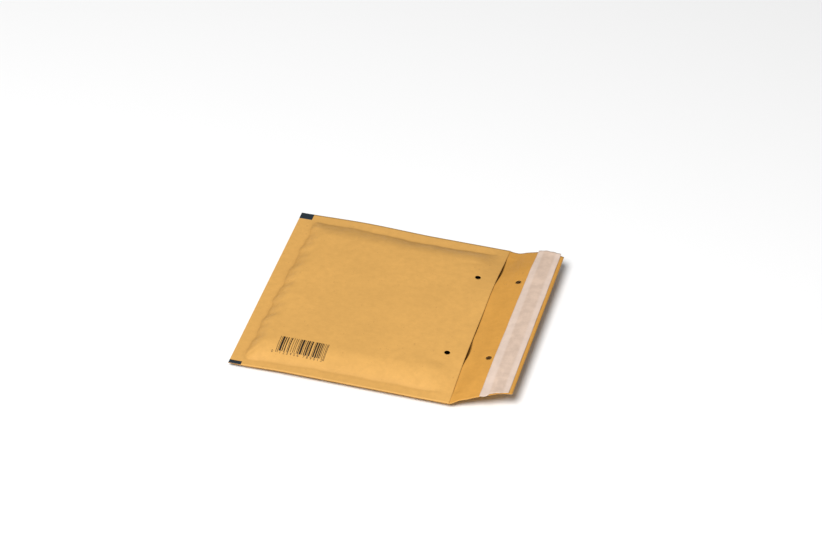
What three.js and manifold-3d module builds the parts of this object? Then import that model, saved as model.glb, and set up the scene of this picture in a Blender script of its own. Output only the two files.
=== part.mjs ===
// A kraft paper mailing envelope lined with bubble film, lying open on a table.
// Millimetres. +X runs from the bottom fold towards the flap, +Y across the width, +Z up.
// The origin is on the table, below the middle of the whole outline.
import * as THREE from "three";
import { mergeVertices } from "three/addons/utils/BufferGeometryUtils.js";
import Module from "manifold-3d";

// The pocket and its flap, seen from above
const POCKET_WIDTH = 200;
const POCKET_LENGTH = 175;
const FLAP_REACH = 46;
const FLAP_TAPER = 11.5;
const MARGIN = 10;
const SIDE_RUN = 22;
const FOLD_RUN = 17;
const SWELL = 1.8;
const SEAM_GLUE = 1;

// Thicknesses and clearances
const PAPER = 0.25;
const FILM = 2.7;
const FILM_AT_LIP = 2.0;
const CLEARANCE = 0.3;
const STRIP = 0.2;
const PINCH = 0.5;

// Heights above the table
const SEAM_HEIGHT = 4.2;
const TOP_AT_FOLD = 11.65;
const TOP_AT_MOUTH = 12.7;
const BELLY_PULL = 5.4;
const FRONT_BLEND = 26;
const BACK_BLEND = 11.5;
const FLAP_BLEND = 15;
const FAR_GAPE = 4.3;
const NEAR_GAPE = 8.6;
const CREASE_REACH = 2.5;
const CREASE_LEAST = 0.3;
const NEAR_CORNER_LIFT = 2.4;
const FAR_SEAM_BOW = 1.4;
const NEAR_SEAM_RISE = 1.3;

// Vent holes, the tear-off liner and the film's edges
const HOLE_RADIUS = 2.25;
const HOLE_SPREAD = 49;
const BODY_HOLE_INSET = 14.7;
const FLAP_HOLE_REACH = 18.1;
const LINER_START = 23;
const LINER_WIDTH = 20.2;
const ADHESIVE_START = 29;
const ADHESIVE_WIDTH = 9.6;
const FILM_EDGE_INSET = 4;
const FILM_HOLLOW_INSET = 8;
const FILM_LIP_INSET = 5.2;

// Places along X that follow from the sizes
const HALF_WIDTH = POCKET_WIDTH / 2;
const FOLD_X = -(POCKET_LENGTH + FLAP_REACH) / 2;
const MOUTH_X = FOLD_X + POCKET_LENGTH;
const BODY_HOLE_X = MOUTH_X - BODY_HOLE_INSET;
const FLAP_HOLE_X = MOUTH_X + FLAP_HOLE_REACH;
const LIP_WALL = 0.1;
const LIP_TRIM = 0.3;

const wasm = await Module();
wasm.setup();

const mix = (a, b, t) => a + (b - a) * t;
const bounded = (t) => Math.min(1, Math.max(0, t));
const ease = (t) => bounded(t) ** 2 * (3 - 2 * bounded(t));
const hump = (at, middle, reach) => ease(1 - Math.abs(at - middle) / reach);

// A smooth curve through a few [along, height] points, as a function of along.
function through(points) {
  const slope = points.map((_, i) => {
    const before = points[Math.max(i - 1, 0)];
    const after = points[Math.min(i + 1, points.length - 1)];
    return (after[1] - before[1]) / (after[0] - before[0]);
  });
  return (along) => {
    let i = points.findIndex((p) => p[0] >= along);
    i = i < 0 ? points.length - 1 : Math.max(i, 1);
    const [a, b] = [points[i - 1], points[i]];
    const span = b[0] - a[0];
    const t = bounded((along - a[0]) / span);
    const fromA = a[1] * (1 + 2 * t) * (1 - t) ** 2 + slope[i - 1] * span * t * (1 - t) ** 2;
    const fromB = b[1] * t * t * (3 - 2 * t) - slope[i] * span * t * t * (1 - t);
    return fromA + fromB;
  };
}

// The mouth's free edge rises from both side seams, higher in the middle.
const mouthEdge = through([
  [-HALF_WIDTH, 1.75],
  [-84, 3.7],
  [-68, 5.8],
  [-50, 7.6],
  [-27, 7.8],
  [5, 7.6],
  [32, 8.5],
  [50, 7.4],
  [66, 5.2],
  [84, 2.4],
  [HALF_WIDTH, 0.25],
]);

// The flap's rise past the mouth, along its middle and along its side edges.
const flapMiddle = through([
  [0, 7.4],
  [8, 8.5],
  [17.5, 10.7],
  [27, 13.1],
  [33, 13.9],
  [39, 13.8],
  [FLAP_REACH, 12.9],
]);
const flapSide = through([
  [0, 0],
  [7, 1.3],
  [14, 4.2],
  [20, 7.0],
  [27, 10.2],
  [33, 12.2],
  [39, 13.1],
  [FLAP_REACH, 12.9],
]);

// 0 at the sealed margins and 1 at full height: it swells steeply, then levels off.
function padding(x, y) {
  const across = (HALF_WIDTH - MARGIN - Math.abs(y)) / SIDE_RUN;
  const along = (x - FOLD_X - MARGIN) / FOLD_RUN;
  return 1 - (1 - bounded(Math.min(across, along))) ** SWELL;
}

// The middle of the sealed margin's two layers: bowed up on the far side, a little higher on the near.
function seamHeight(x, y) {
  const far = FAR_SEAM_BOW * hump(x, FOLD_X + 55, 60) * ease((y - 60) / 30);
  const near = NEAR_SEAM_RISE * ease((x - FOLD_X - 5) / 40) * ease((-y - 60) / 30);
  return SEAM_HEIGHT + far + near;
}

// The mouth's two lens-shaped gaps, 0 to 1 along the front edge.
const betweenSeams = (y) => ease((HALF_WIDTH - MARGIN - Math.abs(y)) / 4);
const farGape = (y) => betweenSeams(y) * hump(y, 64, 24);
const nearGape = (y) => hump(y, -38, 30);

// The back paper's upper face along the mouth: against the front edge, but for the near gap,
// and with the far gap as well.
function openRoot(y) {
  const resting = SEAM_HEIGHT + mouthEdge(y) - PAPER - PINCH * betweenSeams(y);
  return Math.max(PAPER, resting - NEAR_GAPE * nearGape(y));
}
const flapRoot = (y) => Math.max(PAPER, openRoot(y) - FAR_GAPE * farGape(y));

// The front panel's outer face.
function frontTop(x, y) {
  const top = mix(TOP_AT_FOLD, TOP_AT_MOUTH, ease((x - FOLD_X) / POCKET_LENGTH));
  const body = mix(seamHeight(x, y) + PAPER, top, padding(x, y));
  const atMouth = SEAM_HEIGHT + mouthEdge(y);
  return mix(body, atMouth, ease((x - MOUTH_X + FRONT_BLEND) / FRONT_BLEND));
}

// The back panel's outer face, flat where it lies on the table.
function backBottom(x, y) {
  const pulled = seamHeight(x, y) - PAPER - BELLY_PULL * padding(x, y);
  const body = Math.max(0, pulled);
  const atMouth = Math.max(0, flapRoot(y) - PAPER);
  const inside = ease((HALF_WIDTH - MARGIN - Math.abs(y)) / SIDE_RUN);
  const run = mix(FRONT_BLEND, BACK_BLEND, inside);
  return mix(body, atMouth, ease((x - MOUTH_X + run) / run));
}

// The flap's upper face: the back paper carried on past the mouth, creased beside the far gap.
function flapTop(x, y) {
  const past = x - MOUTH_X;
  const middle = ease((HALF_WIDTH - Math.abs(y)) / 42);
  const ramp = SEAM_HEIGHT + mix(flapSide(past), flapMiddle(past), middle);
  const high = mix(openRoot(y), ramp, ease(past / FLAP_BLEND));
  const corner = NEAR_CORNER_LIFT * hump(past, 7.5, 8) * ease((-y - 60) / 30);
  const crease = CREASE_LEAST + CREASE_REACH * farGape(y);
  return high + corner - (openRoot(y) - flapRoot(y)) * bounded(1 - past / crease);
}

const flapHalfWidth = (x) => HALF_WIDTH - FLAP_TAPER * bounded((x - MOUTH_X) / FLAP_REACH);

// A closed sheet between two faces, on a grid of stations along X and Y.
// spread gives the share of the half width that a row of stations is drawn in to.
function sheet(xs, ys, top, bottom, spread = () => 1) {
  const box = new THREE.BoxGeometry(1, 1, 1, xs.length - 1, ys.length - 1, 1);
  const at = box.attributes.position;
  for (let i = 0; i < at.count; i++) {
    const x = xs[Math.round((at.getX(i) + 0.5) * (xs.length - 1))];
    const y = ys[Math.round((at.getY(i) + 0.5) * (ys.length - 1))] * spread(x);
    const face = at.getZ(i) > 0 ? top : bottom;
    at.setXYZ(i, x, y, face(x, y));
  }
  turnUnderDiagonals(box);
  return box;
}

// The under face's cells are split along the same diagonals as the upper face's,
// so that a twisted sheet keeps its thickness.
function turnUnderDiagonals(box) {
  const { start, count } = box.groups[5];
  for (let i = start; i < start + count; i += 6) {
    const [a, b, d] = [0, 1, 2].map((k) => box.index.getX(i + k));
    const c = box.index.getX(i + 4);
    [a, b, c, a, c, d].forEach((corner, k) => box.index.setX(i + k, corner));
  }
}

function solidOf(geometry) {
  const bare = geometry.clone();
  bare.deleteAttribute("normal");
  bare.deleteAttribute("uv");
  const merged = mergeVertices(bare, 1e-4);
  return new wasm.Manifold(
    new wasm.Mesh({
      numProp: 3,
      vertProperties: merged.attributes.position.array,
      triVerts: new Uint32Array(merged.index.array),
    }),
  );
}

function geometryOf(solid) {
  const { vertProperties, triVerts } = solid.getMesh();
  const made = new THREE.BufferGeometry();
  made.setAttribute("position", new THREE.BufferAttribute(vertProperties, 3));
  made.setIndex(new THREE.BufferAttribute(triVerts, 1));
  made.computeVertexNormals();
  return made;
}

// An upright round punch from one height to another.
function punch(x, y, from, to) {
  const tool = new THREE.CylinderGeometry(HOLE_RADIUS, HOLE_RADIUS, to - from, 16);
  tool.rotateX(Math.PI / 2);
  tool.translate(x, y, (from + to) / 2);
  return solidOf(tool);
}

const evenly = (from, to, count) =>
  Array.from({ length: count + 1 }, (_, i) => mix(from, to, i / count));

// Stations across the width, mirrored: margins, padding slopes and the flat middle.
function stationsAcross(edge) {
  const seam = HALF_WIDTH - MARGIN;
  const flat = seam - SIDE_RUN;
  const slope = [...evenly(flat, seam - FILM_HOLLOW_INSET, 3).slice(1), seam - FILM_EDGE_INSET];
  const all = [...evenly(0, flat, 9), ...slope, seam - SEAM_GLUE, seam, seam + MARGIN / 2];
  const half = [...all.filter((y) => y < edge - 0.5), edge];
  return [...half.slice(1).reverse().map((y) => -y), ...half];
}

// Stations along the pocket: the fold margin, the padding slope, the middle and the mouth.
function stationsAlong(from, to) {
  const margin = FOLD_X + MARGIN;
  const all = [
    FOLD_X,
    margin,
    margin + SEAM_GLUE,
    margin + FILM_EDGE_INSET,
    ...evenly(margin + FILM_HOLLOW_INSET, margin + FOLD_RUN, 2),
    ...evenly(margin + FOLD_RUN, MOUTH_X - FRONT_BLEND, 5).slice(1),
    ...evenly(MOUTH_X - FRONT_BLEND, MOUTH_X, 10).slice(1),
  ];
  return [from, ...all.filter((x) => x > from + 0.5 && x < to - 0.5), to];
}

// One sheet of kraft paper: back panel, front panel folded over it, sealed sides, and the flap.
function outerPaper() {
  const nearSteps = [LIP_WALL, 1.1, 2.1, 3.2, 5, 8, 12];
  const flapSteps = [...nearSteps, FLAP_HOLE_REACH, 22, 27, 33, 39.5, FLAP_REACH];
  const flap = flapSteps.map((step) => MOUTH_X + step);
  const envelope = solidOf(
    sheet(
      [...stationsAlong(FOLD_X, MOUTH_X), ...flap],
      stationsAcross(HALF_WIDTH),
      (x, y) => (x > MOUTH_X ? flapTop(x, y) : frontTop(x, y)),
      (x, y) => (x > MOUTH_X ? flapTop(x, y) - PAPER : backBottom(x, y)),
      (x) => flapHalfWidth(x) / HALF_WIDTH,
    ),
  );
  const hollow = solidOf(
    sheet(
      stationsAlong(FOLD_X + MARGIN + SEAM_GLUE, MOUTH_X - LIP_TRIM / 2),
      stationsAcross(HALF_WIDTH - MARGIN - SEAM_GLUE),
      (x, y) => frontTop(x, y) - PAPER,
      (x, y) => backBottom(x, y) + PAPER,
    ),
  );
  // The front panel's free edge is trimmed square, just above the sheet that runs on as the flap.
  const clear = 0.06;
  const trim = solidOf(
    sheet(
      [MOUTH_X - LIP_TRIM, MOUTH_X + LIP_WALL + clear],
      stationsAcross(HALF_WIDTH),
      () => 3 * TOP_AT_MOUTH,
      (x, y) => (x > MOUTH_X ? flapTop(x, y) : flapRoot(y)) + clear,
      () => 1.01,
    ),
  );
  let solid = envelope.subtract(hollow).subtract(trim);
  for (const side of [-1, 1]) {
    const y = side * HOLE_SPREAD;
    const inside = (frontTop(BODY_HOLE_X, y) + backBottom(BODY_HOLE_X, y)) / 2;
    solid = solid.subtract(punch(BODY_HOLE_X, y, inside, 2 * TOP_AT_MOUTH));
    solid = solid.subtract(punch(FLAP_HOLE_X, y, 0, 2 * TOP_AT_MOUTH));
  }
  return geometryOf(solid);
}

// The film's thickness between the papers: full, thinner at its cut edge, pressed where space is short.
function filmThickness(x, y) {
  const room = frontTop(x, y) - backBottom(x, y) - 2 * (PAPER + CLEARANCE);
  const full = mix(FILM, FILM_AT_LIP, ease((x - MOUTH_X + 14) / 8));
  return Math.min(full, (room - PINCH) / 2);
}

// Bubble film folded in two inside the paper, sealed along its sides, open at the mouth.
function bubbleLiner() {
  const outside = PAPER + CLEARANCE;
  const lip = MOUTH_X - FILM_LIP_INSET;
  const body = solidOf(
    sheet(
      stationsAlong(FOLD_X + MARGIN + FILM_EDGE_INSET, lip),
      stationsAcross(HALF_WIDTH - MARGIN - FILM_EDGE_INSET),
      (x, y) => frontTop(x, y) - outside,
      (x, y) => backBottom(x, y) + outside,
    ),
  );
  const hollow = solidOf(
    sheet(
      [...stationsAlong(FOLD_X + MARGIN + FILM_HOLLOW_INSET, lip), lip + 1],
      stationsAcross(HALF_WIDTH - MARGIN - FILM_HOLLOW_INSET),
      (x, y) => frontTop(Math.min(x, lip), y) - outside - filmThickness(Math.min(x, lip), y),
      (x, y) => backBottom(Math.min(x, lip), y) + outside + filmThickness(Math.min(x, lip), y),
    ),
  );
  let solid = body.subtract(hollow);
  for (const side of [-1, 1]) {
    const y = side * HOLE_SPREAD;
    const inside = (frontTop(BODY_HOLE_X, y) + backBottom(BODY_HOLE_X, y)) / 2;
    solid = solid.subtract(punch(BODY_HOLE_X, y, inside, 2 * TOP_AT_MOUTH));
  }
  return geometryOf(solid);
}

// A thin strip that follows the flap at some height above it.
function flapStrip(start, width, lift, thickness, ends) {
  const xs = evenly(MOUTH_X + start, MOUTH_X + start + width, 4);
  const ys = evenly(-HALF_WIDTH, HALF_WIDTH, 16);
  const top = (x, y) => flapTop(x, y) + lift + thickness;
  const bottom = (x, y) => flapTop(x, y) + lift;
  return geometryOf(solidOf(sheet(xs, ys, top, bottom, (x) => (flapHalfWidth(x) - ends) / HALF_WIDTH)));
}

const adhesiveLift = CLEARANCE;
const linerLift = adhesiveLift + STRIP + CLEARANCE;

const pieces = {
  outer_paper: {
    geometry: outerPaper(),
    material: new THREE.MeshStandardMaterial({ color: 0xdcab64, roughness: 0.85, metalness: 0 }),
  },
  bubble_liner: {
    geometry: bubbleLiner(),
    material: new THREE.MeshStandardMaterial({ color: 0xe4e8ea, roughness: 0.3, metalness: 0 }),
  },
  adhesive_strip: {
    geometry: flapStrip(ADHESIVE_START, ADHESIVE_WIDTH, adhesiveLift, STRIP, 1),
    material: new THREE.MeshStandardMaterial({ color: 0xd2b48c, roughness: 0.25, metalness: 0 }),
  },
  release_liner: {
    geometry: flapStrip(LINER_START, LINER_WIDTH, linerLift, STRIP, 0),
    material: new THREE.MeshStandardMaterial({ color: 0xdac6b4, roughness: 0.5, metalness: 0 }),
  },
};

const group = new THREE.Group();
for (const [name, { geometry, material }] of Object.entries(pieces)) {
  const mesh = new THREE.Mesh(geometry, material);
  mesh.name = name;
  group.add(mesh);
}

export default group;
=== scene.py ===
"""A kraft paper padded envelope: its paper, bubble film, tear-off strip and print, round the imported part."""

import math

import bpy
import numpy as np
from mathutils import Matrix, Vector


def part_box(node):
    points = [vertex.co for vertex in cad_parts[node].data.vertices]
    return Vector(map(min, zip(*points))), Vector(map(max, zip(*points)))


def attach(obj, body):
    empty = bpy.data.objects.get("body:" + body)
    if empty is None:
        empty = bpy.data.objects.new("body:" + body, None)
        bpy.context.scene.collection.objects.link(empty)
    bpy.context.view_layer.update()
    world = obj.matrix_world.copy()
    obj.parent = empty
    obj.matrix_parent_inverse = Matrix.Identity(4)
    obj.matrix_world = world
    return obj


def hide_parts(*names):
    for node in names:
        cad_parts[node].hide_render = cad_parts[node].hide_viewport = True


bl_info = {
    "name": "Padded envelope",
    "version": (1, 0, 0),
    "blender": (4, 5, 0),
    "location": "3D View > Sidebar > Envelope",
    "description": "Builds a kraft padded envelope piece by piece",
    "category": "Add Mesh",
}

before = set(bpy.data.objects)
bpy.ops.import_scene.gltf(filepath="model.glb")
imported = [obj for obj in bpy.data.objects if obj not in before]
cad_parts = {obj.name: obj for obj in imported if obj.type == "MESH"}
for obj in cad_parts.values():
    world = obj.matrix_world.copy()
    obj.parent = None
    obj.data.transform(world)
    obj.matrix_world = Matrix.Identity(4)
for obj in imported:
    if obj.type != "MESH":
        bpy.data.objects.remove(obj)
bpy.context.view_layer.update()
PAPER_LOW, PAPER_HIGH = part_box("outer_paper")
LINER_LOW, LINER_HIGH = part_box("release_liner")

MM = 0.001

# The outline, in millimetres like every length here that isn't a property
HALF_WIDTH = PAPER_HIGH.y / MM
FOLD_X = PAPER_LOW.x / MM
FLAP_EDGE_X = PAPER_HIGH.x / MM
POCKET_LENGTH = 175
MOUTH_X = FOLD_X + POCKET_LENGTH
FLAP_REACH = FLAP_EDGE_X - MOUTH_X
FLAP_TAPER = 11.5
MARGIN = 10
SEAM_Y = HALF_WIDTH - MARGIN
SEAM_X = FOLD_X + MARGIN

# How far the padding takes to rise inside the margins, how much the bottom seam leans, how steeply it swells
SIDE_RUN = 22
FOLD_RUN = 14
SEAM_SKEW = 3.6
SWELL = 1.8

# Heights above the table, and how far from the mouth the panels start to change towards it
SEAM_HEIGHT = 4.2
WALL = 0.25
PINCH = 0.5
TOP_AT_FOLD = 11.65
TOP_AT_MOUTH = 12.7
BELLY_PULL = 5.4
FRONT_BLEND = 26
BACK_BLEND = 11.5
FLAP_BLEND = 15

# The gaps at the mouth: depth, reach along the flap, and the reach where there is no gap
GAPE_DEPTH = 4.6
GAPE_REACH = 1.8
GAPE_LEAST = 0.3

# Vent holes and the strips on the flap
HOLE_RADIUS = 2.25
HOLE_Y = 49
BODY_HOLE_X = MOUTH_X - 14.7
FLAP_HOLE_X = MOUTH_X + 18.1
LINER_START = LINER_LOW.x / MM - MOUTH_X
LINER_WIDTH = (LINER_HIGH.x - LINER_LOW.x) / MM
ADHESIVE_START = 29
ADHESIVE_WIDTH = 9.6

# The film's edge inside the paper's at the mouth and at the margins, and the spacing of its mesh
FILM_LIP_INSET = 5.2
FILM_SIDE_INSET = 0.8
FILM_SPACING = 1.45

# The spacing of the mesh round a vent hole, along a sealed margin's inner edge and along the bottom seam
HOLE_SPACING = 0.55
MARGIN_SPACING = 0.7
SEAM_SPACING = 0.4


def sized(name, description, default, low=0.0):
    """A length property in metres."""
    return bpy.props.FloatProperty(
        name=name, description=description, default=default, min=low, precision=5,
        unit="LENGTH", subtype="DISTANCE",
    )


def tinted(name, description, default):
    """A linear RGB colour property."""
    return bpy.props.FloatVectorProperty(
        name=name, description=description, default=default, min=0.0, max=1.0, size=3, subtype="COLOR"
    )


class EnvelopeSizes(bpy.types.PropertyGroup):
    """Sizes of the paper, the film and the print."""

    paper: sized("Paper", "Thickness of the kraft paper", 0.00014)
    spacing: sized("Mesh spacing", "Distance between neighbouring points of the paper's mesh", 0.0018, 0.0005)
    film: sized("Film", "Thickness of the plain film between its bubbles", 0.00007)
    bubble_height: sized("Bubble height", "How far a bubble stands off the film", 0.0024)
    bubble_width: sized("Bubble width", "Width of one bubble at its foot", 0.0094)
    bubble_pitch: sized("Bubble pitch", "Distance between the middles of neighbouring bubbles", 0.0106)
    adhesive: sized("Adhesive", "Thickness of the adhesive band", 0.00012)
    liner: sized("Tear-off strip", "Thickness of the tear-off strip", 0.00009)
    bar_height: sized("Bar height", "Length of the printed bars", 0.0152)
    digit_height: sized("Digit height", "Height of the printed digits", 0.0023)


class EnvelopeColours(bpy.types.PropertyGroup):
    """Colours of the paper, the film, the strips and the print."""

    kraft: tinted("Kraft", "Outer face of the paper", (0.6, 0.327, 0.088))
    kraft_inside: tinted("Kraft inside", "Inner face of the paper, seen on the flap", (0.565, 0.277, 0.055))
    fibre: tinted("Fibre", "Dark specks and fibres in the paper", (0.34, 0.16, 0.05))
    film: tinted("Film", "Bubble film", (0.97, 0.98, 0.99))
    liner: tinted("Tear-off strip", "Silicone paper of the tear-off strip", (0.63, 0.495, 0.41))
    liner_band: tinted("Strip over adhesive", "Where the adhesive shows through", (0.59, 0.445, 0.35))
    adhesive: tinted("Adhesive", "Self-seal adhesive", (0.6, 0.42, 0.26))
    ink: tinted("Ink", "Printed bars and digits", (0.02, 0.012, 0.007))
    mark_ink: tinted("Mark ink", "Printed fold marks", (0.012, 0.02, 0.028))
    floor: tinted("Floor", "The floor", (0.85, 0.85, 0.85))


# Shape of the envelope


def mix(a, b, t):
    return a + (b - a) * t


def ease(t):
    t = np.clip(t, 0, 1)
    return t * t * (3 - 2 * t)


def hump(at, middle, reach):
    return ease(1 - np.abs(at - middle) / reach)


def through(points):
    """A smooth curve through a few (along, height) points."""
    along, height = np.array(points, float).T
    before, after = np.r_[0, np.arange(len(along) - 1)], np.r_[np.arange(1, len(along)), len(along) - 1]
    slope = (height[after] - height[before]) / (along[after] - along[before])

    def curve(at):
        i = np.clip(np.searchsorted(along, at) - 1, 0, len(along) - 2)
        span = along[i + 1] - along[i]
        t = np.clip((at - along[i]) / span, 0, 1)
        start = height[i] * (1 + 2 * t) * (1 - t) ** 2 + slope[i] * span * t * (1 - t) ** 2
        end = height[i + 1] * t * t * (3 - 2 * t) - slope[i + 1] * span * t * t * (1 - t)
        return start + end

    return curve


mouth_edge = through(
    [(-100, 1.75), (-84, 3.7), (-68, 5.8), (-50, 7.6), (-27, 7.8), (5, 7.6)]
    + [(32, 8.5), (50, 7.4), (66, 5.2), (84, 2.4), (100, 0.25)]
)
flap_middle = through([(0, 7.4), (8, 8.5), (17.5, 10.7), (27, 13.1), (33, 13.9), (39, 13.8), (46, 12.9)])
flap_side = through(
    [(0, 0), (7, 1.3), (14, 4.2), (20, 7.0), (27, 10.2), (33, 12.2), (39, 13.1), (46, 12.9)]
)


def wander(at):
    """The seams' unevenness."""
    return 0.7 * np.sin(0.19 * at + 1) + 0.35 * np.sin(0.46 * at)


def past_margins(x, y):
    """How far a point lies inside the side margins and the bottom margin, whose inner edges wander."""
    skew = SEAM_SKEW * ease((y + HALF_WIDTH) / HALF_WIDTH / 2)
    bow = np.where(y > 0, -1.6 * hump(x, FOLD_X + 95, 70), 2.2 * hump(x, FOLD_X + 20, 55))
    return SEAM_Y - np.abs(y) + 0.5 * wander(x) + bow, x - SEAM_X - skew - wander(y)


def padding(x, y):
    """0 at the sealed margins and 1 at full height. It swells steeply, levels off and has mitred corners."""
    across, along = past_margins(x, y)
    across, along = across / SIDE_RUN, along / FOLD_RUN
    least = np.minimum(across, along) - 0.06 * np.exp(-(((across - along) / 0.12) ** 2))
    return 1 - (1 - np.clip(least, 0, 1)) ** SWELL


def seam_height(x, y):
    """The height of the sealed margins, with the bow of the far one and the rise of the near one."""
    far = 1.4 * hump(x, FOLD_X + 55, 60) * ease((y - 60) / 30)
    near = 1.3 * ease((x - FOLD_X - 5) / 40) * ease((-y - 60) / 30)
    return SEAM_HEIGHT + far + near


def gape(y):
    """The mouth's two lens-shaped gaps, 0 to 1 along the front edge."""
    lenses = np.maximum.reduce([0.8 * hump(y, 66, 24), hump(y, -41, 20), 0.22 * hump(y, -12, 34)])
    return ease((SEAM_Y - np.abs(y)) / 4) * lenses


def root_at(y, depth):
    """The back paper's upper face at the mouth, where it turns into the flap."""
    pinch = PINCH * ease((SEAM_Y - np.abs(y)) / 4)
    return np.maximum(WALL, SEAM_HEIGHT + mouth_edge(y) - WALL - pinch - depth * gape(y))


def grooves(x, y):
    """Creases and dents: each a short furrow with a soft cross section."""
    total = np.zeros(np.broadcast(x, y).shape)
    for at_x, at_y, turn, half, width, depth in GROOVES:
        c, s = math.cos(math.radians(turn)), math.sin(math.radians(turn))
        along, across = (x - at_x) * c + (y - at_y) * s, (y - at_y) * c - (x - at_x) * s
        total += depth * ease(1 - np.abs(along) / half) / (1 + (across / width) ** 2) ** 2
    return total


# Middle x, middle y, direction in degrees, half length, half width, depth
GROOVES = [
    (-93, -83, 45, 12, 1.1, 0.75),
    (-94, 84, -42, 9, 1.3, 0.45),
    (-89, 64, 14, 7, 2.6, 0.25),
    (-90, 41, -18, 7, 3.6, 0.32),
    (-93, 25, 10, 6, 2.2, 0.2),
    (-91, 3, -10, 7, 4.2, 0.35),
    (-94, -18, 22, 6, 2.4, 0.2),
    (-93, -38, -6, 7, 3.6, 0.32),
    (-95, -60, 16, 6, 2.4, 0.22),
    (-72, 84, 84, 8, 2.6, 0.3),
    (-52, 82, 96, 9, 3.2, 0.35),
    (-33, 84, 82, 8, 2.6, 0.28),
    (-12, 82, 98, 9, 3.0, 0.34),
    (9, 84, 85, 8, 2.8, 0.28),
    (28, 83, 95, 8, 2.6, 0.26),
    (-70, -83, 96, 8, 3.0, 0.22),
    (-30, -84, 84, 8, 3.2, 0.24),
    (8, -83, 97, 8, 3.0, 0.22),
    (36, -83, 83, 8, 2.8, 0.24),
    (44, 66, 12, 15, 3.0, 0.35),
    (47, -62, -14, 14, 3.2, 0.35),
    (20, 30, 35, 26, 9.0, 0.22),
    (-28, -30, -25, 30, 11.0, 0.22),
    (-40, 38, 20, 30, 12.0, 0.2),
]


def quilting(x, y):
    """The film's bubbles, pressed faintly through the paper."""
    pitch, turn = 10.6, 0.1
    k = 4 * math.pi / (math.sqrt(3) * pitch)
    directions = (turn, turn + math.pi / 3, turn + 2 * math.pi / 3)
    waves = [np.cos(k * (x * math.cos(t) + y * math.sin(t))) for t in directions]
    return sum(waves) / 3


def slow_waves(x, y):
    """The gentle unevenness of the whole panel."""
    return (
        0.5 * np.sin(0.047 * x + 0.021 * y + 0.6)
        + 0.35 * np.sin(0.031 * y - 0.058 * x + 2.1)
        + 0.22 * np.sin(0.11 * x + 0.07 * y)
        + 0.18 * np.sin(0.13 * y - 0.05 * x + 1.3)
    )


def front_top(x, y):
    """The front panel's outer face."""
    full = padding(x, y)
    top = mix(TOP_AT_FOLD, TOP_AT_MOUTH, ease((x - FOLD_X) / POCKET_LENGTH))
    body = mix(seam_height(x, y) + WALL, top, full)
    at_mouth = SEAM_HEIGHT + mouth_edge(y)
    toward_mouth = ease((x - MOUTH_X + FRONT_BLEND) / FRONT_BLEND)
    raised = full * (0.28 * slow_waves(x, y) + 0.045 * quilting(x, y))
    relief = (1 - toward_mouth) * (raised - ease(full * 6) * grooves(x, y))
    return mix(body, at_mouth, toward_mouth) + relief


def back_bottom(x, y):
    """The back panel's outer face, flat where it lies on the table."""
    body = np.maximum(0, seam_height(x, y) - WALL - BELLY_PULL * padding(x, y))
    at_mouth = np.maximum(0, root_at(y, GAPE_DEPTH) - WALL)
    run = mix(FRONT_BLEND, BACK_BLEND, ease((SEAM_Y - np.abs(y)) / SIDE_RUN))
    return mix(body, at_mouth, ease((x - MOUTH_X + run) / run))


def flap_top(x, y):
    """The flap's upper face: the back paper carried on past the mouth."""
    past = x - MOUTH_X
    middle = ease((HALF_WIDTH - np.abs(y)) / 42)
    ramp = SEAM_HEIGHT + mix(flap_side(past), flap_middle(past), middle)
    high = mix(root_at(y, 0), ramp, ease(past / FLAP_BLEND))
    drop = np.clip(1 - past / (GAPE_LEAST + GAPE_REACH * gape(y)), 0, 1)
    lifted = (2.4 * hump(past, 7.5, 8) + 2.4 * hump(past, 15, 14)) * ease((-y - 60) / 30)
    return high + lifted - GAPE_DEPTH * gape(y) * drop


def along_crease(x, y):
    """Places past the mouth, moved so that one row of points lies on the crease beside the gaps."""
    past, crease, until = x - MOUTH_X, GAPE_LEAST + GAPE_REACH * gape(y), 6
    near = past * crease / GAPE_LEAST
    beyond = crease + (past - GAPE_LEAST) * (until - crease) / (until - GAPE_LEAST)
    return MOUTH_X + np.where(past < GAPE_LEAST, near, np.where(past < until, beyond, past))


def flap_share(x):
    """The flap's half width at x, as a share of the pocket's."""
    return 1 - FLAP_TAPER / HALF_WIDTH * np.clip((x - MOUTH_X) / FLAP_REACH, 0, 1)


# Mesh tools


def stations(low, high, step, closer=()):
    """Places from low to high about step apart, closer near each (place, reach, step)."""
    fine = np.linspace(low, high, 4000)
    local = np.full(fine.shape, float(step))
    for place, reach, small in closer:
        local = np.minimum(local, mix(step, small, ease(1.4 - np.abs(fine - place) / reach)))
    count = np.r_[0, np.cumsum(np.diff(fine) * (1 / local[1:] + 1 / local[:-1]) / 2)]
    return np.interp(np.linspace(0, count[-1], math.ceil(count[-1]) + 1), count, fine)


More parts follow.
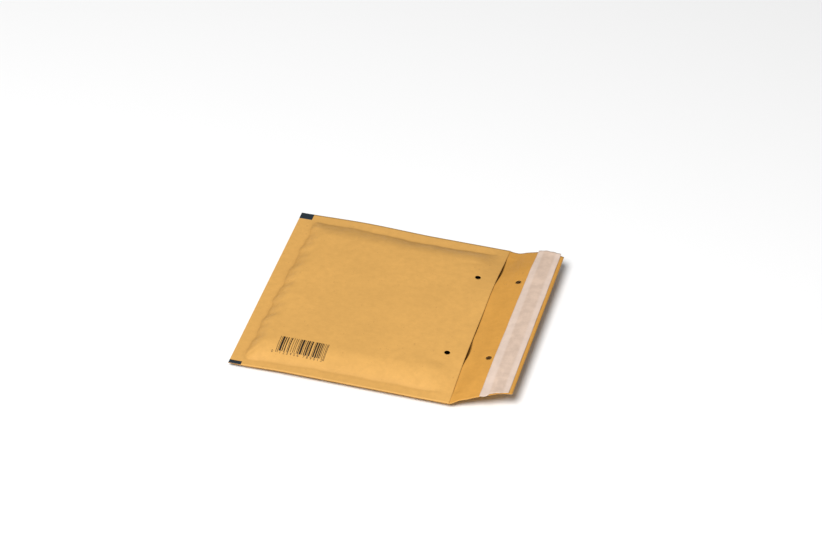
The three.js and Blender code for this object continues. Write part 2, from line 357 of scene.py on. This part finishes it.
def shell(outer, inner, keep=None):
    """Points, faces and the face of each (0 outer, 1 inner, 2 rim) of a closed sheet between two grids."""
    rows, cols = outer.shape[:2]
    keep = np.ones((rows - 1, cols - 1), bool) if keep is None else keep
    a = np.arange(rows * cols).reshape(rows, cols)
    b = a + rows * cols
    framed = np.pad(keep, 1)
    i, j = np.nonzero(keep)
    faces = [np.stack([a[i, j], a[i + 1, j], a[i + 1, j + 1], a[i, j + 1]], 1)]
    faces.append(np.stack([b[i, j], b[i, j + 1], b[i + 1, j + 1], b[i + 1, j]], 1))
    rims = []
    i, j = np.nonzero(keep & ~framed[1:-1, :-2])
    rims.append(np.stack([a[i + 1, j], a[i, j], b[i, j], b[i + 1, j]], 1))
    i, j = np.nonzero(keep & ~framed[1:-1, 2:])
    rims.append(np.stack([a[i, j + 1], a[i + 1, j + 1], b[i + 1, j + 1], b[i, j + 1]], 1))
    i, j = np.nonzero(keep & ~framed[:-2, 1:-1])
    rims.append(np.stack([a[i, j], a[i, j + 1], b[i, j + 1], b[i, j]], 1))
    i, j = np.nonzero(keep & ~framed[2:, 1:-1])
    rims.append(np.stack([a[i + 1, j + 1], a[i + 1, j], b[i + 1, j], b[i + 1, j + 1]], 1))
    kind = np.repeat([0, 1, 2], [len(faces[0]), len(faces[1]), sum(map(len, rims))])
    faces = np.concatenate(faces + rims)
    points = np.concatenate([outer.reshape(-1, 3), inner.reshape(-1, 3)])
    used, faces = np.unique(faces, return_inverse=True)
    return points[used], faces.reshape(-1, 4), kind


def mesh_object(name, parts, materials):
    """One object from shells in millimetres. materials holds one material for each kind of face."""
    points, faces, kinds, offset = [], [], [], 0
    for p, f, k in parts:
        corner = p[f]
        spanned = np.cross(corner[:, 2] - corner[:, 0], corner[:, 3] - corner[:, 1])
        inside_out = (corner.mean(1) * spanned).sum() < 0
        points.append(p)
        faces.append((f[:, ::-1] if inside_out else f) + offset)
        kinds.append(k)
        offset += len(p)
    points, faces, kinds = np.concatenate(points), np.concatenate(faces), np.concatenate(kinds)
    mesh = bpy.data.meshes.new(name)
    mesh.vertices.add(len(points))
    mesh.vertices.foreach_set("co", (points * MM).astype(np.float32).ravel())
    mesh.loops.add(faces.size)
    mesh.loops.foreach_set("vertex_index", faces.astype(np.int32).ravel())
    mesh.polygons.add(len(faces))
    mesh.polygons.foreach_set("loop_start", np.arange(0, faces.size, 4, dtype=np.int32))
    mesh.polygons.foreach_set("use_smooth", kinds < 2)
    slots = list(dict.fromkeys(materials))
    slot_of_kind = np.array([slots.index(m) for m in materials], np.int32)
    mesh.polygons.foreach_set("material_index", slot_of_kind[kinds])
    mesh.update(calc_edges=True)
    mesh.validate()
    for material in slots:
        mesh.materials.append(material)
    piece = bpy.data.objects.new(name, mesh)
    bpy.context.scene.collection.objects.link(piece)
    return piece


def settle(piece, stands_for=()):
    """Puts a finished piece on the part's one body."""
    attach(piece, "root")
    if stands_for:
        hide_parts(*stands_for)


def round_hole(outer, inner, keep, centre):
    """Opens a round hole in a shell's grids, with the points at its edge moved on to the circle."""
    middle = (outer[1:, 1:] + outer[:-1, :-1] + outer[1:, :-1] + outer[:-1, 1:]) / 4
    inside = np.hypot(middle[..., 0] - centre[0], middle[..., 1] - centre[1]) < HOLE_RADIUS
    keep &= ~inside
    cells = np.pad(inside, 1).astype(int)
    around = cells[1:, 1:] + cells[:-1, :-1] + cells[1:, :-1] + cells[:-1, 1:]
    at_edge = (around > 0) & (around < 4)
    for grid in (outer, inner):
        off = grid[at_edge, :2] - centre
        grid[at_edge, :2] = centre + off * (HOLE_RADIUS / np.linalg.norm(off, axis=1))[:, None]


def paper_stations(step):
    """Places along X for the front, the back and the flap, and across as shares of the half width."""
    seam = [(SEAM_X + SEAM_SKEW / 2, 4, SEAM_SPACING), (FOLD_X, 3, 0.8)]
    hole = (BODY_HOLE_X, 4, HOLE_SPACING)
    front = stations(FOLD_X + WALL, MOUTH_X, step, seam + [hole, (MOUTH_X, 5, 1.0)])
    back = stations(FOLD_X + WALL, MOUTH_X, step, seam)
    crease = MOUTH_X + GAPE_LEAST
    flap = stations(crease, FLAP_EDGE_X, step, [(FLAP_HOLE_X, 4, HOLE_SPACING), (crease, 3, 0.6)])
    flap = np.r_[np.linspace(MOUTH_X, crease, 6)[:-1], flap]
    holes = [(sign * HOLE_Y * 1.02, 4.5, HOLE_SPACING) for sign in (-1, 1)]
    gapes = [(64, 24, 1.1), (-38, 26, 1.1)]
    edges = [(sign * SEAM_Y, 4, MARGIN_SPACING) for sign in (-1, 1)]
    across = stations(-HALF_WIDTH, HALF_WIDTH, step, holes + gapes + edges) / HALF_WIDTH
    return front, back, flap, across


def on_front(x, y, sizes):
    """The height of the paper's mesh under print, at points on the front panel."""
    front, _, _, across = paper_stations(sizes.spacing / MM)
    ys = across * HALF_WIDTH
    heights = front_top(front[:, None], ys[None, :])
    i = np.clip(np.searchsorted(front, x) - 1, 0, len(front) - 2)
    j = np.clip(np.searchsorted(ys, y) - 1, 0, len(ys) - 2)
    s, t = (x - front[i]) / (front[i + 1] - front[i]), (y - ys[j]) / (ys[j + 1] - ys[j])
    low, high = (mix(heights[i, k], heights[i + 1, k], s) for k in (j, j + 1))
    return mix(low, high, t)


FOLD_ARC = np.radians(np.linspace(90, -90, 7)[1:-1])


def fold_arc(y, radius):
    """Rows of points round the bottom fold, from the front's side to the back's."""
    x = FOLD_X + WALL - radius * np.cos(FOLD_ARC)[:, None] + 0 * y
    z = seam_height(FOLD_X, y) + radius * np.sin(FOLD_ARC)[:, None]
    return np.stack([x, y + 0 * x, z], -1)


def rows_of(xs, y, height, spread=None):
    """A grid of points over the places xs and y, at the height that a function gives."""
    x = (xs[:, None] if xs.ndim == 1 else xs) + 0 * y
    y = y + 0 * x if spread is None else y * spread(x)
    return np.stack([x, y, height(x, y)], -1)


def paper_grids(step, thick):
    """The paper's outer and inner face as grids: front panel from its lip, fold, back panel, flap."""
    front, back, flap, across = paper_stations(step)
    y = across[None, :] * HALF_WIDTH
    flap = along_crease(flap[1:, None], y)
    outer = [
        rows_of(front[::-1], y, front_top),
        fold_arc(y, WALL),
        rows_of(back, y, back_bottom),
        rows_of(flap, y, lambda x, y: flap_top(x, y) - WALL, flap_share),
    ]
    inner = [
        rows_of(front[::-1], y, lambda x, y: front_top(x, y) - thick),
        fold_arc(y, WALL - thick),
        rows_of(back, y, lambda x, y: back_bottom(x, y) + thick),
        rows_of(flap, y, lambda x, y: flap_top(x, y) - WALL + thick, flap_share),
    ]
    return np.concatenate(outer), np.concatenate(inner), len(front)


# Materials


class Recipe:
    """A material's nodes, added one at a time around its main shader."""

    def __init__(self, name, **sockets):
        self.material = bpy.data.materials.new(name)
        self.material.use_nodes = True
        self.tree = self.material.node_tree
        self.shader = self.tree.nodes["Principled BSDF"]
        self.place = self.add("TexCoord").outputs["Object"]
        self.set(**sockets)

    def add(self, kind, inputs=None, **settings):
        node = self.tree.nodes.new("ShaderNode" + kind)
        for key, value in settings.items():
            setattr(node, key, value)
        for key, value in (inputs or {}).items():
            self.feed(node.inputs[key], value)
        return node

    def feed(self, socket, value):
        if isinstance(value, bpy.types.NodeSocket):
            self.tree.links.new(value, socket)
        else:
            socket.default_value = value

    def set(self, **sockets):
        """Shader sockets by name, with _ for a space."""
        for key, value in sockets.items():
            self.feed(self.shader.inputs[key.replace("_", " ")], value)

    def stretched(self, stretch):
        return self.add("Mapping", {"Vector": self.place, "Scale": stretch}).outputs[0]

    def noise(self, scale, stretch=(1, 1, 1), detail=3.0, rough=0.55):
        inputs = {"Vector": self.stretched(stretch), "Scale": scale, "Detail": detail, "Roughness": rough}
        return self.add("TexNoise", inputs).outputs["Fac"]

    def cells(self, scale, stretch=(1, 1, 1)):
        """Distance to the nearest of a scatter of points."""
        inputs = {"Vector": self.stretched(stretch), "Scale": scale}
        return self.add("TexVoronoi", inputs).outputs["Distance"]

    def ranged(self, value, low, high, to_low=0.0, to_high=1.0):
        inputs = {"Value": value, 1: low, 2: high, 3: to_low, 4: to_high}
        return self.add("MapRange", inputs).outputs[0]

    def math(self, operation, a, b):
        return self.add("Math", {0: a, 1: b}, operation=operation).outputs[0]

    def blended(self, share, a, b):
        """Colour a with b laid over it. 6, 7 and 2 are the Mix node's colour sockets."""
        return self.add("Mix", {"Factor": share, 6: a, 7: b}, data_type="RGBA").outputs[2]

    def attribute(self, name):
        return self.add("Attribute", attribute_name=name).outputs["Fac"]

    def bumped(self, height, strength, distance, below=None):
        inputs = {"Height": height, "Strength": strength, "Distance": distance}
        if below is not None:
            inputs["Normal"] = below
        return self.add("Bump", inputs).outputs[0]


def rgba(colour, gain=1.0):
    return (*(min(1.0, c * gain) for c in colour), 1.0)


def kraft_finish(name, colour, fibre, cloudiness=1.0):
    """Kraft paper: cloudy colour, fine fibres along the web, scattered dark specks, lighter worn edges,
    painted shade along the seams and in the creases, and a soft tooth.
    """
    r = Recipe(name, Specular_IOR_Level=0.2)
    clouds = r.noise(28, detail=4, rough=0.6)
    mottle = r.noise(210, detail=3, rough=0.65)
    strands = r.noise(700, stretch=(0.35, 3.2, 1), detail=2, rough=0.7)
    dull, bright = rgba(colour, 1 - 0.045 * cloudiness), rgba(colour, 1 + 0.04 * cloudiness)
    tone = r.blended(r.ranged(clouds, 0.3, 0.7), dull, bright)
    tone = r.blended(r.ranged(mottle, 0.35, 0.68, 0, 0.55), tone, rgba(colour, 0.86))
    tone = r.blended(r.ranged(strands, 0.52, 0.75, 0, 0.28), tone, rgba(colour, 1.16))
    speck_size = r.ranged(r.noise(160, detail=1), 0.45, 0.7, 0.0, 0.2)
    specks = r.math("LESS_THAN", r.cells(330, stretch=(1, 0.55, 1)), speck_size)
    tone = r.blended(r.math("MULTIPLY", specks, 0.3), tone, rgba(fibre))
    tone = r.blended(r.ranged(r.attribute("worn"), 0, 1, 0, 0.4), tone, rgba(colour, 1.1))
    # Painted shade: the paper darkened along the padding's seam lines and in the grooves and dents, where
    # shade falls
    tone = r.blended(r.ranged(r.attribute("painted_crease_shade"), 0, 1, 0, 0.45), tone, rgba(colour, 0.62))
    tooth = r.bumped(strands, 0.35, 0.00012)
    tooth = r.bumped(mottle, 0.3, 0.0003, tooth)
    rough = r.ranged(mottle, 0.2, 0.8, 0.5, 0.64)
    r.set(Base_Color=tone, Roughness=rough, Normal=tooth)
    return r.material


def film_finish(colour):
    """Clear polythene film with a few streaks."""
    r = Recipe("bubble_film_finish", Base_Color=rgba(colour), Transmission_Weight=1.0, IOR=1.4)
    streaks = r.noise(90, stretch=(0.3, 2, 1), detail=3)
    r.set(Roughness=r.ranged(streaks, 0.3, 0.7, 0.04, 0.12), Normal=r.bumped(streaks, 0.25, 0.0003))
    return r.material


def liner_finish(colour, band):
    """Silicone paper: two pale edges and a warmer band where the adhesive lies under it."""
    r = Recipe("tear_off_finish", Specular_IOR_Level=0.5, Coat_Weight=0.15, Coat_Roughness=0.35)
    mottle = r.noise(150, detail=4, rough=0.6)
    fine = r.noise(900, detail=2)
    pale = r.blended(r.ranged(mottle, 0.35, 0.65), rgba(colour, 0.96), rgba(colour, 1.04))
    warm = r.blended(r.ranged(mottle, 0.4, 0.62), rgba(band, 0.9), rgba(band, 1.05))
    tone = r.blended(r.attribute("over_adhesive"), pale, warm)
    r.set(Base_Color=tone, Roughness=r.ranged(mottle, 0.3, 0.7, 0.42, 0.55))
    r.set(Normal=r.bumped(fine, 0.15, 0.0001, r.bumped(mottle, 0.25, 0.0004)))
    return r.material


def adhesive_finish(colour):
    r = Recipe("adhesive_finish", Subsurface_Weight=0.2, Subsurface_Radius=(0.001, 0.0006, 0.0003), IOR=1.48)
    blobs = r.noise(260, detail=3)
    r.set(Base_Color=r.blended(blobs, rgba(colour, 0.85), rgba(colour, 1.1)))
    r.set(Roughness=r.ranged(blobs, 0.3, 0.7, 0.16, 0.34), Normal=r.bumped(blobs, 0.4, 0.0004))
    return r.material


def ink_finish(name, colour):
    """Flexographic ink, worn thin where the paper's fibres stand up."""
    r = Recipe(name, Specular_IOR_Level=0.35)
    wear = r.ranged(r.noise(900, detail=4, rough=0.7), 0.5, 0.8, 0, 0.35)
    r.set(Base_Color=r.blended(wear, rgba(colour), rgba(colour, 4.5)))
    r.set(Roughness=r.ranged(wear, 0, 0.35, 0.5, 0.7))
    return r.material


def floor_finish(colour):
    r = Recipe("floor_finish", Roughness=0.7, Specular_IOR_Level=0.2)
    r.set(Base_Color=r.blended(r.noise(3, detail=2), rgba(colour, 0.995), rgba(colour, 1.0)))
    return r.material


def point_values(piece, name, values):
    """A number from 0 to 1 at each point of a piece, for its material to read."""
    attribute = piece.data.attributes.new(name, "FLOAT", "POINT")
    attribute.data.foreach_set("value", np.clip(values, 0, 1).astype(np.float32))


def places(piece):
    """The points of a piece, in millimetres, as three rows."""
    co = np.zeros(len(piece.data.vertices) * 3, np.float32)
    piece.data.vertices.foreach_get("co", co)
    return co.reshape(-1, 3).T.astype(float) / MM


# Operators


class EnvelopeOperator:
    """What the operators share."""

    bl_options = {"REGISTER", "UNDO"}

    @property
    def sizes(self):
        return bpy.context.scene.envelope_sizes

    @property
    def colours(self):
        return bpy.context.scene.envelope_colours


class ENVELOPE_OT_stage(EnvelopeOperator, bpy.types.Operator):
    """Sets the camera, the pale floor and the soft lights"""

    bl_idname = "envelope.stage"
    bl_label = "Stage"

    azimuth, elevation, roll = 13.632, 37.94, 2.076
    aim = Vector((0.001468, 0.022789, 0.025211))
    distance = 2.542789
    focal_length = 141.69
    # Direction it shines from, distance, size, power
    lamps = [((-0.08, -0.6, 0.8), 3.6, 1.5, 168.0)]
    # World light at the horizon and overhead, and the heights between which it changes
    ambient = 0.0, 0.415
    ambient_between = 0.25, 0.85
    floor_reach = 6.0

    def execute(self, context):
        self.set_camera(context)
        self.set_lamps(context)
        self.set_world(context)
        context.scene.view_settings.view_transform = "Standard"
        self.lay_floor(context)
        return {"FINISHED"}

    def set_camera(self, context):
        a, e, roll = map(math.radians, (self.azimuth, self.elevation, self.roll))
        back = Vector((math.sin(a) * math.cos(e), -math.cos(a) * math.cos(e), math.sin(e)))
        right = Vector((math.cos(a), math.sin(a), 0))
        up = back.cross(right)
        across = right * math.cos(roll) + up * math.sin(roll)
        upward = up * math.cos(roll) - right * math.sin(roll)
        turn = Matrix((across, upward, back)).transposed().to_4x4()
        camera = bpy.data.objects.new("camera", bpy.data.cameras.new("camera"))
        camera.matrix_world = Matrix.Translation(self.aim + back * self.distance) @ turn
        camera.data.lens = self.focal_length
        camera.data.clip_start = 0.05
        context.scene.collection.objects.link(camera)
        context.scene.camera = camera

    def set_lamps(self, context):
        for n, (direction, away, size, power) in enumerate(self.lamps):
            lamp = bpy.data.objects.new(f"softbox_{n}", bpy.data.lights.new(f"softbox_{n}", "AREA"))
            lamp.data.shape, lamp.data.size, lamp.data.energy = "DISK", size, power
            toward = Vector(direction).normalized()
            lamp.location = toward * away
            lamp.rotation_mode = "QUATERNION"
            lamp.rotation_quaternion = toward.to_track_quat("Z", "Y")
            context.scene.collection.objects.link(lamp)

    def set_world(self, context):
        """World light that grows from the horizon to overhead."""
        world = bpy.data.worlds.new("studio")
        world.use_nodes = True
        nodes, link = world.node_tree.nodes, world.node_tree.links.new
        sky = nodes["Background"]
        place, split, ramp = (nodes.new("ShaderNode" + k) for k in ("TexCoord", "SeparateXYZ", "MapRange"))
        link(place.outputs["Generated"], split.inputs[0])
        link(split.outputs["Z"], ramp.inputs["Value"])
        for n, value in enumerate((*self.ambient_between, *self.ambient), 1):
            ramp.inputs[n].default_value = value
        sky.inputs["Color"].default_value = (1, 1, 1, 1)
        link(ramp.outputs[0], sky.inputs["Strength"])
        context.scene.world = world

    def lay_floor(self, context):
        mesh, reach = bpy.data.meshes.new("floor"), self.floor_reach
        corners = [(-reach, -reach, 0), (reach, -reach, 0), (reach, reach, 0), (-reach, reach, 0)]
        mesh.from_pydata(corners, [], [(0, 1, 2, 3)])
        mesh.materials.append(floor_finish(self.colours.floor))
        floor = bpy.data.objects.new("floor", mesh)
        context.scene.collection.objects.link(floor)


class ENVELOPE_OT_paper(EnvelopeOperator, bpy.types.Operator):
    """Folds the kraft paper: front and back panel, sealed margins and flap"""

    bl_idname = "envelope.paper"
    bl_label = "Kraft paper"

    def execute(self, context):
        s, c = self.sizes, self.colours
        outer, inner, front_rows = paper_grids(s.spacing / MM, s.paper / MM)
        keep = np.ones((outer.shape[0] - 1, outer.shape[1] - 1), bool)
        on_panel, on_flap = slice(0, front_rows), slice(front_rows, None)
        for y in (-HOLE_Y, HOLE_Y):
            round_hole(outer[on_panel], inner[on_panel], keep[: front_rows - 1], np.array([BODY_HOLE_X, y]))
            round_hole(outer[on_flap], inner[on_flap], keep[on_flap], np.array([FLAP_HOLE_X, y]))
        outside = kraft_finish("kraft_outside", c.kraft, c.fibre)
        inside = kraft_finish("kraft_inside", c.kraft_inside, c.fibre, 1.3)
        piece = mesh_object("kraft_envelope", [shell(outer, inner, keep)], [outside, inside, outside])
        x, y, z = places(piece)
        edge = np.minimum.reduce([x - FOLD_X, HALF_WIDTH * flap_share(x) - np.abs(y), FLAP_EDGE_X - x])
        point_values(piece, "worn", np.exp(-edge / 0.5))
        on_front_panel = (z > seam_height(x, y)) * (x < MOUTH_X)
        # Painted shade mask: darkens the front panel along the inner edges of the sealed margins and in its
        # grooves and dents
        crease = np.exp(-((np.minimum(*past_margins(x, y)) / 1.8) ** 2)) * (x < MOUTH_X - 8)
        point_values(piece, "painted_crease_shade", np.clip(crease * 0.5 + grooves(x, y) * 0.6, 0, 1) * on_front_panel)
        settle(piece, ["outer_paper"])
        return {"FINISHED"}


class ENVELOPE_OT_film(EnvelopeOperator, bpy.types.Operator):
    """Lines the pocket with bubble film, a front and a back layer, sealed in at the margins"""

    bl_idname = "envelope.film"
    bl_label = "Bubble film"

    def bubbles(self, x, y):
        """Height of the blisters, 0 between them."""
        pitch, width = self.sizes.bubble_pitch / MM, self.sizes.bubble_width / MM
        row = pitch * math.sqrt(3) / 2
        nearest = np.full(np.broadcast(x, y).shape, 1e9)
        for k in (0, 1):
            at = (np.round((x / row - k) / 2) * 2 + k) * row
            off = pitch / 2 * k
            beside = np.round((y - off) / pitch) * pitch + off
            nearest = np.minimum(nearest, np.hypot(x - at, y - beside))
        return np.sqrt(np.clip(1 - (nearest / (width / 2)) ** 2.6, 0, 1))

    def execute(self, context):
        s = self.sizes
        thick, film = s.paper / MM, s.film / MM
        lip = MOUTH_X - FILM_LIP_INSET
        start, side_edge = FOLD_X + WALL + FILM_SIDE_INSET, HALF_WIDTH - FILM_SIDE_INSET
        closer = [(BODY_HOLE_X, 4, HOLE_SPACING), (SEAM_X + SEAM_SKEW / 2, 4, SEAM_SPACING)]
        xs = stations(start, lip, FILM_SPACING, closer)
        closer = [(sign * HOLE_Y, 4.5, HOLE_SPACING) for sign in (-1, 1)]
        closer += [(sign * SEAM_Y, 4, MARGIN_SPACING) for sign in (-1, 1)]
        ys = stations(-side_edge, side_edge, FILM_SPACING, closer)
        x, y = xs[:, None] + 0 * ys, ys + 0 * xs[:, None]
        # The film keeps a little off the paper, most where the paper bends at the margins
        half = (front_top(x, y) - back_bottom(x, y)) / 2 - thick - film
        gap = np.minimum(0.12 + 0.2 * np.exp(-((np.minimum(*past_margins(x, y)) / 2) ** 2)), half - 0.01)
        room = half - gap
        inside = ease((SEAM_Y - np.abs(y)) / 6) * ease((x - SEAM_X) / 6) * ease((lip - x + 1.5) / 3)
        height = np.minimum(s.bubble_height / MM, np.maximum(room - 0.15, 0)) * inside * self.bubbles(x, y)
        parts = []
        for side, face in ((1, front_top), (-1, back_bottom)):
            outer = face(x, y) - side * (thick + gap)
            inner = outer - side * (film + height)
            outer, inner = (np.stack([x, y, z], -1) for z in (outer, inner))
            keep = np.ones((len(xs) - 1, len(ys) - 1), bool)
            if side > 0:
                for sign in (-1, 1):
                    round_hole(outer, inner, keep, np.array([BODY_HOLE_X, sign * HOLE_Y]))
            parts.append(shell(outer, inner, keep))
        finish = film_finish(self.colours.film)
        piece = mesh_object("bubble_film", parts, [finish] * 3)
        settle(piece, ["bubble_liner"])
        return {"FINISHED"}


class ENVELOPE_OT_strips(EnvelopeOperator, bpy.types.Operator):
    """Lays the adhesive band and its tear-off strip on the flap"""

    bl_idname = "envelope.strips"
    bl_label = "Adhesive and tear-off strip"

    def strip(self, name, start, width, lift, thick, ends, finish, wander=0.0, skew=0.0):
        """A strip on the flap. lift gives its height over the paper at a place past the mouth and along it."""
        xs = stations(MOUTH_X + start, MOUTH_X + start + width, 0.8)
        share = stations(-1, 1, 0.012)
        x = xs[:, None] + 0 * share
        waves = 0.5 * np.sin(share * 23 + 1) + 0.5 * np.sin(share * 41)
        x = x + wander * waves * (2 * (x - x.mean()) / width)
        x = x + skew * share * (1 - (x - MOUTH_X - start) / width)
        y = share * (HALF_WIDTH * flap_share(x) - ends(x, share))
        paper = flap_top(x, y) - WALL + self.sizes.paper / MM
        under = paper + lift(x - MOUTH_X, y)
        outer, inner = (np.stack([x, y, z], -1) for z in (under + thick, under))
        return mesh_object(name, [shell(outer, inner)], [finish] * 3)

    def execute(self, context):
        s, c = self.sizes, self.colours
        band = s.adhesive / MM

        def over(past):
            """1 over the adhesive and 0 beside it."""
            in_side, out_side = past - ADHESIVE_START, ADHESIVE_START + ADHESIVE_WIDTH - past
            return ease((in_side + 1) / 1.6) * ease((out_side + 1) / 1.6)

        def liner_lift(past, y):
            from_edge = np.minimum(past - LINER_START, LINER_START + LINER_WIDTH - past)
            curl = 0.22 * ease(1 - from_edge / 4) * (1.7 + np.sin(y * 0.11) + 0.6 * np.sin(y * 0.27 + 2))
            flare = 0.5 * ease((np.abs(y) - 84) / 8)
            return 0.05 + (band + 0.04) * over(past) + curl + flare

        def liner_ends(x, share):
            ragged = 0.5 * np.sin(x * 0.5 + 2 * np.sign(share)) + 0.35 * np.sin(x * 1.1)
            step = 1.3 * ease((x - MOUTH_X - LINER_START - 5) / 0.9) * (share < 0)
            return -0.9 + 0.5 * ragged + step

        adhesive = self.strip(
            "adhesive_band", ADHESIVE_START, ADHESIVE_WIDTH, lambda past, y: 0.015 + 0 * y, band,
            lambda x, share: 1.6 + 0.5 * np.sin(x * 1.7), adhesive_finish(c.adhesive), 0.25,
        )
        settle(adhesive, ["adhesive_strip"])
        liner = self.strip(
            "tear_off_strip", LINER_START, LINER_WIDTH, liner_lift, s.liner / MM,
            liner_ends, liner_finish(c.liner, c.liner_band), skew=1.1,
        )
        point_values(liner, "over_adhesive", over(places(liner)[0] - MOUTH_X))
        settle(liner, ["release_liner"])
        return {"FINISHED"}


class ENVELOPE_OT_print(EnvelopeOperator, bpy.types.Operator):
    """Prints the fold marks, a plain bar pattern and counting digits"""

    bl_idname = "envelope.print"
    bl_label = "Print"

    bars_start, bars_top, module = -78.0, -66.0, 0.43
    # Width of each bar and of the space after it, in modules
    pattern = "12114122231123131213112141122131113311313121211212111"
    digits = "0123456789012"
    # How far the ink's upper and lower face lie over the paper
    lift, base_lift = 0.035, 0.01

    def patch(self, xs, ys):
        """A thin film of ink on the front panel."""
        x, y = xs[:, None] + 0 * ys, ys + 0 * xs[:, None]
        under = on_front(x, y, self.sizes)
        outer, inner = (np.stack([x, y, under + rise], -1) for rise in (self.lift, self.base_lift))
        return shell(outer, inner)

    def bars(self):
        parts, x = [], self.bars_start
        widths = [int(w) * self.module for w in self.pattern]
        for n, width in enumerate(widths):
            if n % 2 == 0:
                longer = 1.6 if n in (0, 2, len(widths) - 3, len(widths) - 1) else 0
                low = self.bars_top - self.sizes.bar_height / MM - longer
                parts.append(self.patch(np.array([x, x + width * 0.92]), stations(low, self.bars_top, 0.8)))
            x += width
        return parts, x

    def digit_parts(self, bars_end):
        """The points and faces of each digit, flat, in millimetres."""
        height = self.sizes.digit_height / MM
        base = self.bars_top - self.sizes.bar_height / MM - height
        span = bars_end - self.bars_start
        spots = [self.bars_start - 3.4] + [self.bars_start + span * (0.075 + 0.073 * n) for n in range(6)]
        spots += [self.bars_start + span * (0.56 + 0.073 * n) for n in range(6)]
        parts = []
        for digit, at in zip(self.digits, spots):
            curve = bpy.data.curves.new("digit", "FONT")
            curve.body, curve.size = digit, height * 1.38
            curve.fill_mode, curve.resolution_u = "FRONT", 4
            holder = bpy.data.objects.new("digit", curve)
            bpy.context.scene.collection.objects.link(holder)
            depsgraph = bpy.context.evaluated_depsgraph_get()
            mesh = bpy.data.meshes.new_from_object(holder.evaluated_get(depsgraph))
            co = np.array([v.co for v in mesh.vertices], float).reshape(-1, 3)
            faces = [list(p.vertices) for p in mesh.polygons]
            bpy.data.objects.remove(holder)
            bpy.data.curves.remove(curve)
            bpy.data.meshes.remove(mesh)
            parts.append((co[:, 0] + at, co[:, 1] + base, faces))
        return parts

    def execute(self, context):
        ink = ink_finish("bar_ink", self.colours.ink)
        parts, bars_end = self.bars()
        settle(mesh_object("printed_bars", parts, [ink] * 3))
        points, faces = [], []
        for x, y, digit_faces in self.digit_parts(bars_end):
            start, count = len(points), len(x)
            height = on_front(x, y, self.sizes)
            for rise in (self.lift, self.base_lift):
                points += [(a, b, h + rise) for a, b, h in zip(x, y, height)]
            faces += [[start + v for v in f] for f in digit_faces]
            faces += [[start + count + v for v in reversed(f)] for f in digit_faces]
            sides = {}
            for f in digit_faces:
                for a, b in zip(f, f[1:] + f[:1]):
                    sides[(a, b)] = sides.get((a, b), 0) + 1
            faces += [
                [start + b, start + a, start + count + a, start + count + b]
                for a, b in sides if (b, a) not in sides
            ]
        mesh = bpy.data.meshes.new("printed_digits")
        mesh.from_pydata([tuple(v * MM for v in p) for p in points], [], faces)
        mesh.materials.append(ink)
        piece = bpy.data.objects.new("printed_digits", mesh)
        context.scene.collection.objects.link(piece)
        settle(piece)
        self.fold_marks(ink_finish("mark_ink", self.colours.mark_ink))
        return {"FINISHED"}

    def fold_marks(self, ink):
        """Register marks printed round the bottom fold at both corners."""
        parts = []
        for low, high, reach in ((92.4, 99.97, 10.7), (-99.97, -96.0, 10.0)):
            y = stations(low, high, 0.9)[None, :]
            xs = stations(FOLD_X + WALL, FOLD_X + reach, 0.9)
            sides = []
            for rise in (self.lift, 0.008):
                sides.append(np.concatenate([
                    rows_of(xs[::-1], y, lambda x, y: front_top(x, y) + rise),
                    fold_arc(y, WALL + rise),
                    rows_of(xs, y, lambda x, y: back_bottom(x, y) - rise),
                ]))
            parts.append(shell(*sides))
        settle(mesh_object("fold_marks", parts, [ink] * 3))


class ENVELOPE_PT_panel(bpy.types.Panel):
    """Lists the envelope's pieces, sizes and colours"""

    bl_idname = "ENVELOPE_PT_panel"
    bl_label = "Padded envelope"
    bl_space_type = "VIEW_3D"
    bl_region_type = "UI"
    bl_category = "Envelope"

    def draw(self, context):
        for operator in STEPS:
            self.layout.operator(operator.bl_idname)
        for group in (context.scene.envelope_sizes, context.scene.envelope_colours):
            box = self.layout.box()
            for key in group.__annotations__:
                box.prop(group, key)


STEPS = [ENVELOPE_OT_stage, ENVELOPE_OT_paper, ENVELOPE_OT_film, ENVELOPE_OT_strips, ENVELOPE_OT_print]
CLASSES = [EnvelopeSizes, EnvelopeColours, *STEPS, ENVELOPE_PT_panel]


def register():
    for each in CLASSES:
        bpy.utils.register_class(each)
    bpy.types.Scene.envelope_sizes = bpy.props.PointerProperty(type=EnvelopeSizes)
    bpy.types.Scene.envelope_colours = bpy.props.PointerProperty(type=EnvelopeColours)


def unregister():
    del bpy.types.Scene.envelope_colours, bpy.types.Scene.envelope_sizes
    for each in reversed(CLASSES):
        bpy.utils.unregister_class(each)


def main():
    register()
    bpy.ops.envelope.stage()
    bpy.ops.envelope.paper()
    bpy.ops.envelope.film()
    bpy.ops.envelope.strips()
    bpy.ops.envelope.print()


if __name__ == "__main__":
    main()
